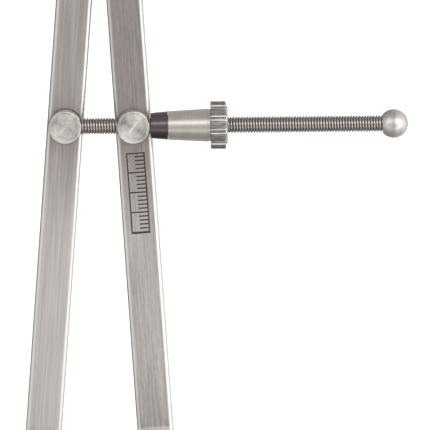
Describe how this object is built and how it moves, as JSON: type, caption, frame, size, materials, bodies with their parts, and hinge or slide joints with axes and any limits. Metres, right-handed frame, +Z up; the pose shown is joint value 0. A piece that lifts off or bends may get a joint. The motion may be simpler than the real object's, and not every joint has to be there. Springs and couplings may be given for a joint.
{
  "type": "spring divider",
  "caption": "Spring divider with two flat pointed legs, a bow spring with a knurled grip, and a threaded spindle with a quick-release adjusting nut.",
  "frame": {"origin": "centre of the flat top of the grip; the fulcrum is 51.5 mm straight below it", "axes": "+Z up along the tool's centre line with the points down, +X to the right along the spindle towards its ball end, -Y towards the front where the spindle runs"},
  "size_m": [0.0958, 0.0166, 0.2291],
  "materials": {
    "leg_steel": "satin, brushed lengthwise",
    "stud_steel": "fine turned",
    "nut_steel": "satin turned",
    "thread_steel": "rolled thread",
    "bright_steel": "bright turned",
    "spring_steel": "satin spring steel",
    "blackened_steel": "black oxide",
    "bronze": "machined bronze"
  },
  "bodies": {
    "head": {"fulcrum_roller": "bright_steel", "bow_spring": "spring_steel", "grip": "bright_steel", "grip_screw": "bright_steel", "grip_washer": "bright_steel"},
    "left_leg": {"left_leg": "leg_steel"},
    "right_leg": {"right_leg": "leg_steel"},
    "spindle_assembly": {"left_stud": "stud_steel", "left_stud_washer": "bright_steel", "left_stud_screw": "bright_steel", "spindle": "thread_steel", "spindle_lock_pin": "bright_steel", "ball_end": "stud_steel"},
    "right_stud": {"right_stud": "stud_steel", "right_stud_washer": "bright_steel", "right_stud_screw": "bright_steel"},
    "nut_bush": {"thrust_bush": "blackened_steel"},
    "nut_core": {"nut_cage": "spring_steel", "spring_seat_ring": "spring_steel", "release_spring": "spring_steel"},
    "nut_sleeve": {"release_sleeve": "nut_steel"},
    "jaw_upper": {"nut_jaw_upper": "bronze"},
    "jaw_lower": {"nut_jaw_lower": "bronze"}
  },
  "joints": [
    {"name": "left_leg_swing", "type": "hinge", "parent": "head", "child": "left_leg", "pos_m": [0, 0, -0.0515], "axis": [0, 1, 0], "range_deg": [-4.07, 19.96], "deforming": ["bow_spring"]},
    {"name": "right_leg_swing", "type": "hinge", "parent": "head", "child": "right_leg", "pos_m": [0, 0, -0.0515], "axis": [0, 1, 0], "range_deg": [-20.36, 4.15], "deforming": ["bow_spring"]},
    {"name": "left_stud_swivel", "type": "hinge", "parent": "left_leg", "child": "spindle_assembly", "pos_m": [-0.00851, 0, -0.10704], "axis": [0, 1, 0], "range_deg": [-19.95, 4.07]},
    {"name": "right_stud_swivel", "type": "hinge", "parent": "right_leg", "child": "right_stud", "pos_m": [0.00851, 0, -0.10704], "axis": [0, 1, 0], "range_deg": [-4.23, 20.77]},
    {"name": "nut_travel", "type": "slide", "parent": "spindle_assembly", "child": "nut_bush", "axis": [1, 0, 0.0093], "range_m": [-0.00785, 0.03856]},
    {"name": "nut_spin", "type": "hinge", "parent": "nut_bush", "child": "nut_core", "pos_m": [-0.00851, -0.00545, -0.10704], "axis": [1, 0, 0.0093], "range_deg": [-4039.2, 19828.8]},
    {"name": "sleeve_release", "type": "slide", "parent": "nut_core", "child": "nut_sleeve", "axis": [1, 0, 0.0093], "range_m": [0, 0.002], "stiffness_N_per_m": 600, "springref_m": -0.002, "deforming": ["release_spring"]},
    {"name": "jaw_upper_open", "type": "slide", "parent": "nut_core", "child": "jaw_upper", "axis": [-0.0093, 0, 1], "range_m": [0, 0.00043]},
    {"name": "jaw_lower_open", "type": "slide", "parent": "nut_core", "child": "jaw_lower", "axis": [0.0093, 0, -1], "range_m": [0, 0.00043]}
  ],
  "couplings": [
    {"joint": "right_leg_swing", "follows": "left_leg_swing", "ratio": -1},
    {"joint": "left_stud_swivel", "follows": "left_leg_swing", "ratio": -0.98},
    {"joint": "right_stud_swivel", "follows": "left_leg_swing", "ratio": 1.02},
    {"joint": "nut_travel", "follows": "left_leg_swing", "m_per_rad": 0.1085},
    {"joint": "nut_spin", "follows": "left_leg_swing", "ratio": 973.89},
    {"joint": "jaw_upper_open", "follows": "sleeve_release", "ratio": 0.21},
    {"joint": "jaw_lower_open", "follows": "sleeve_release", "ratio": 0.21}
  ]
}
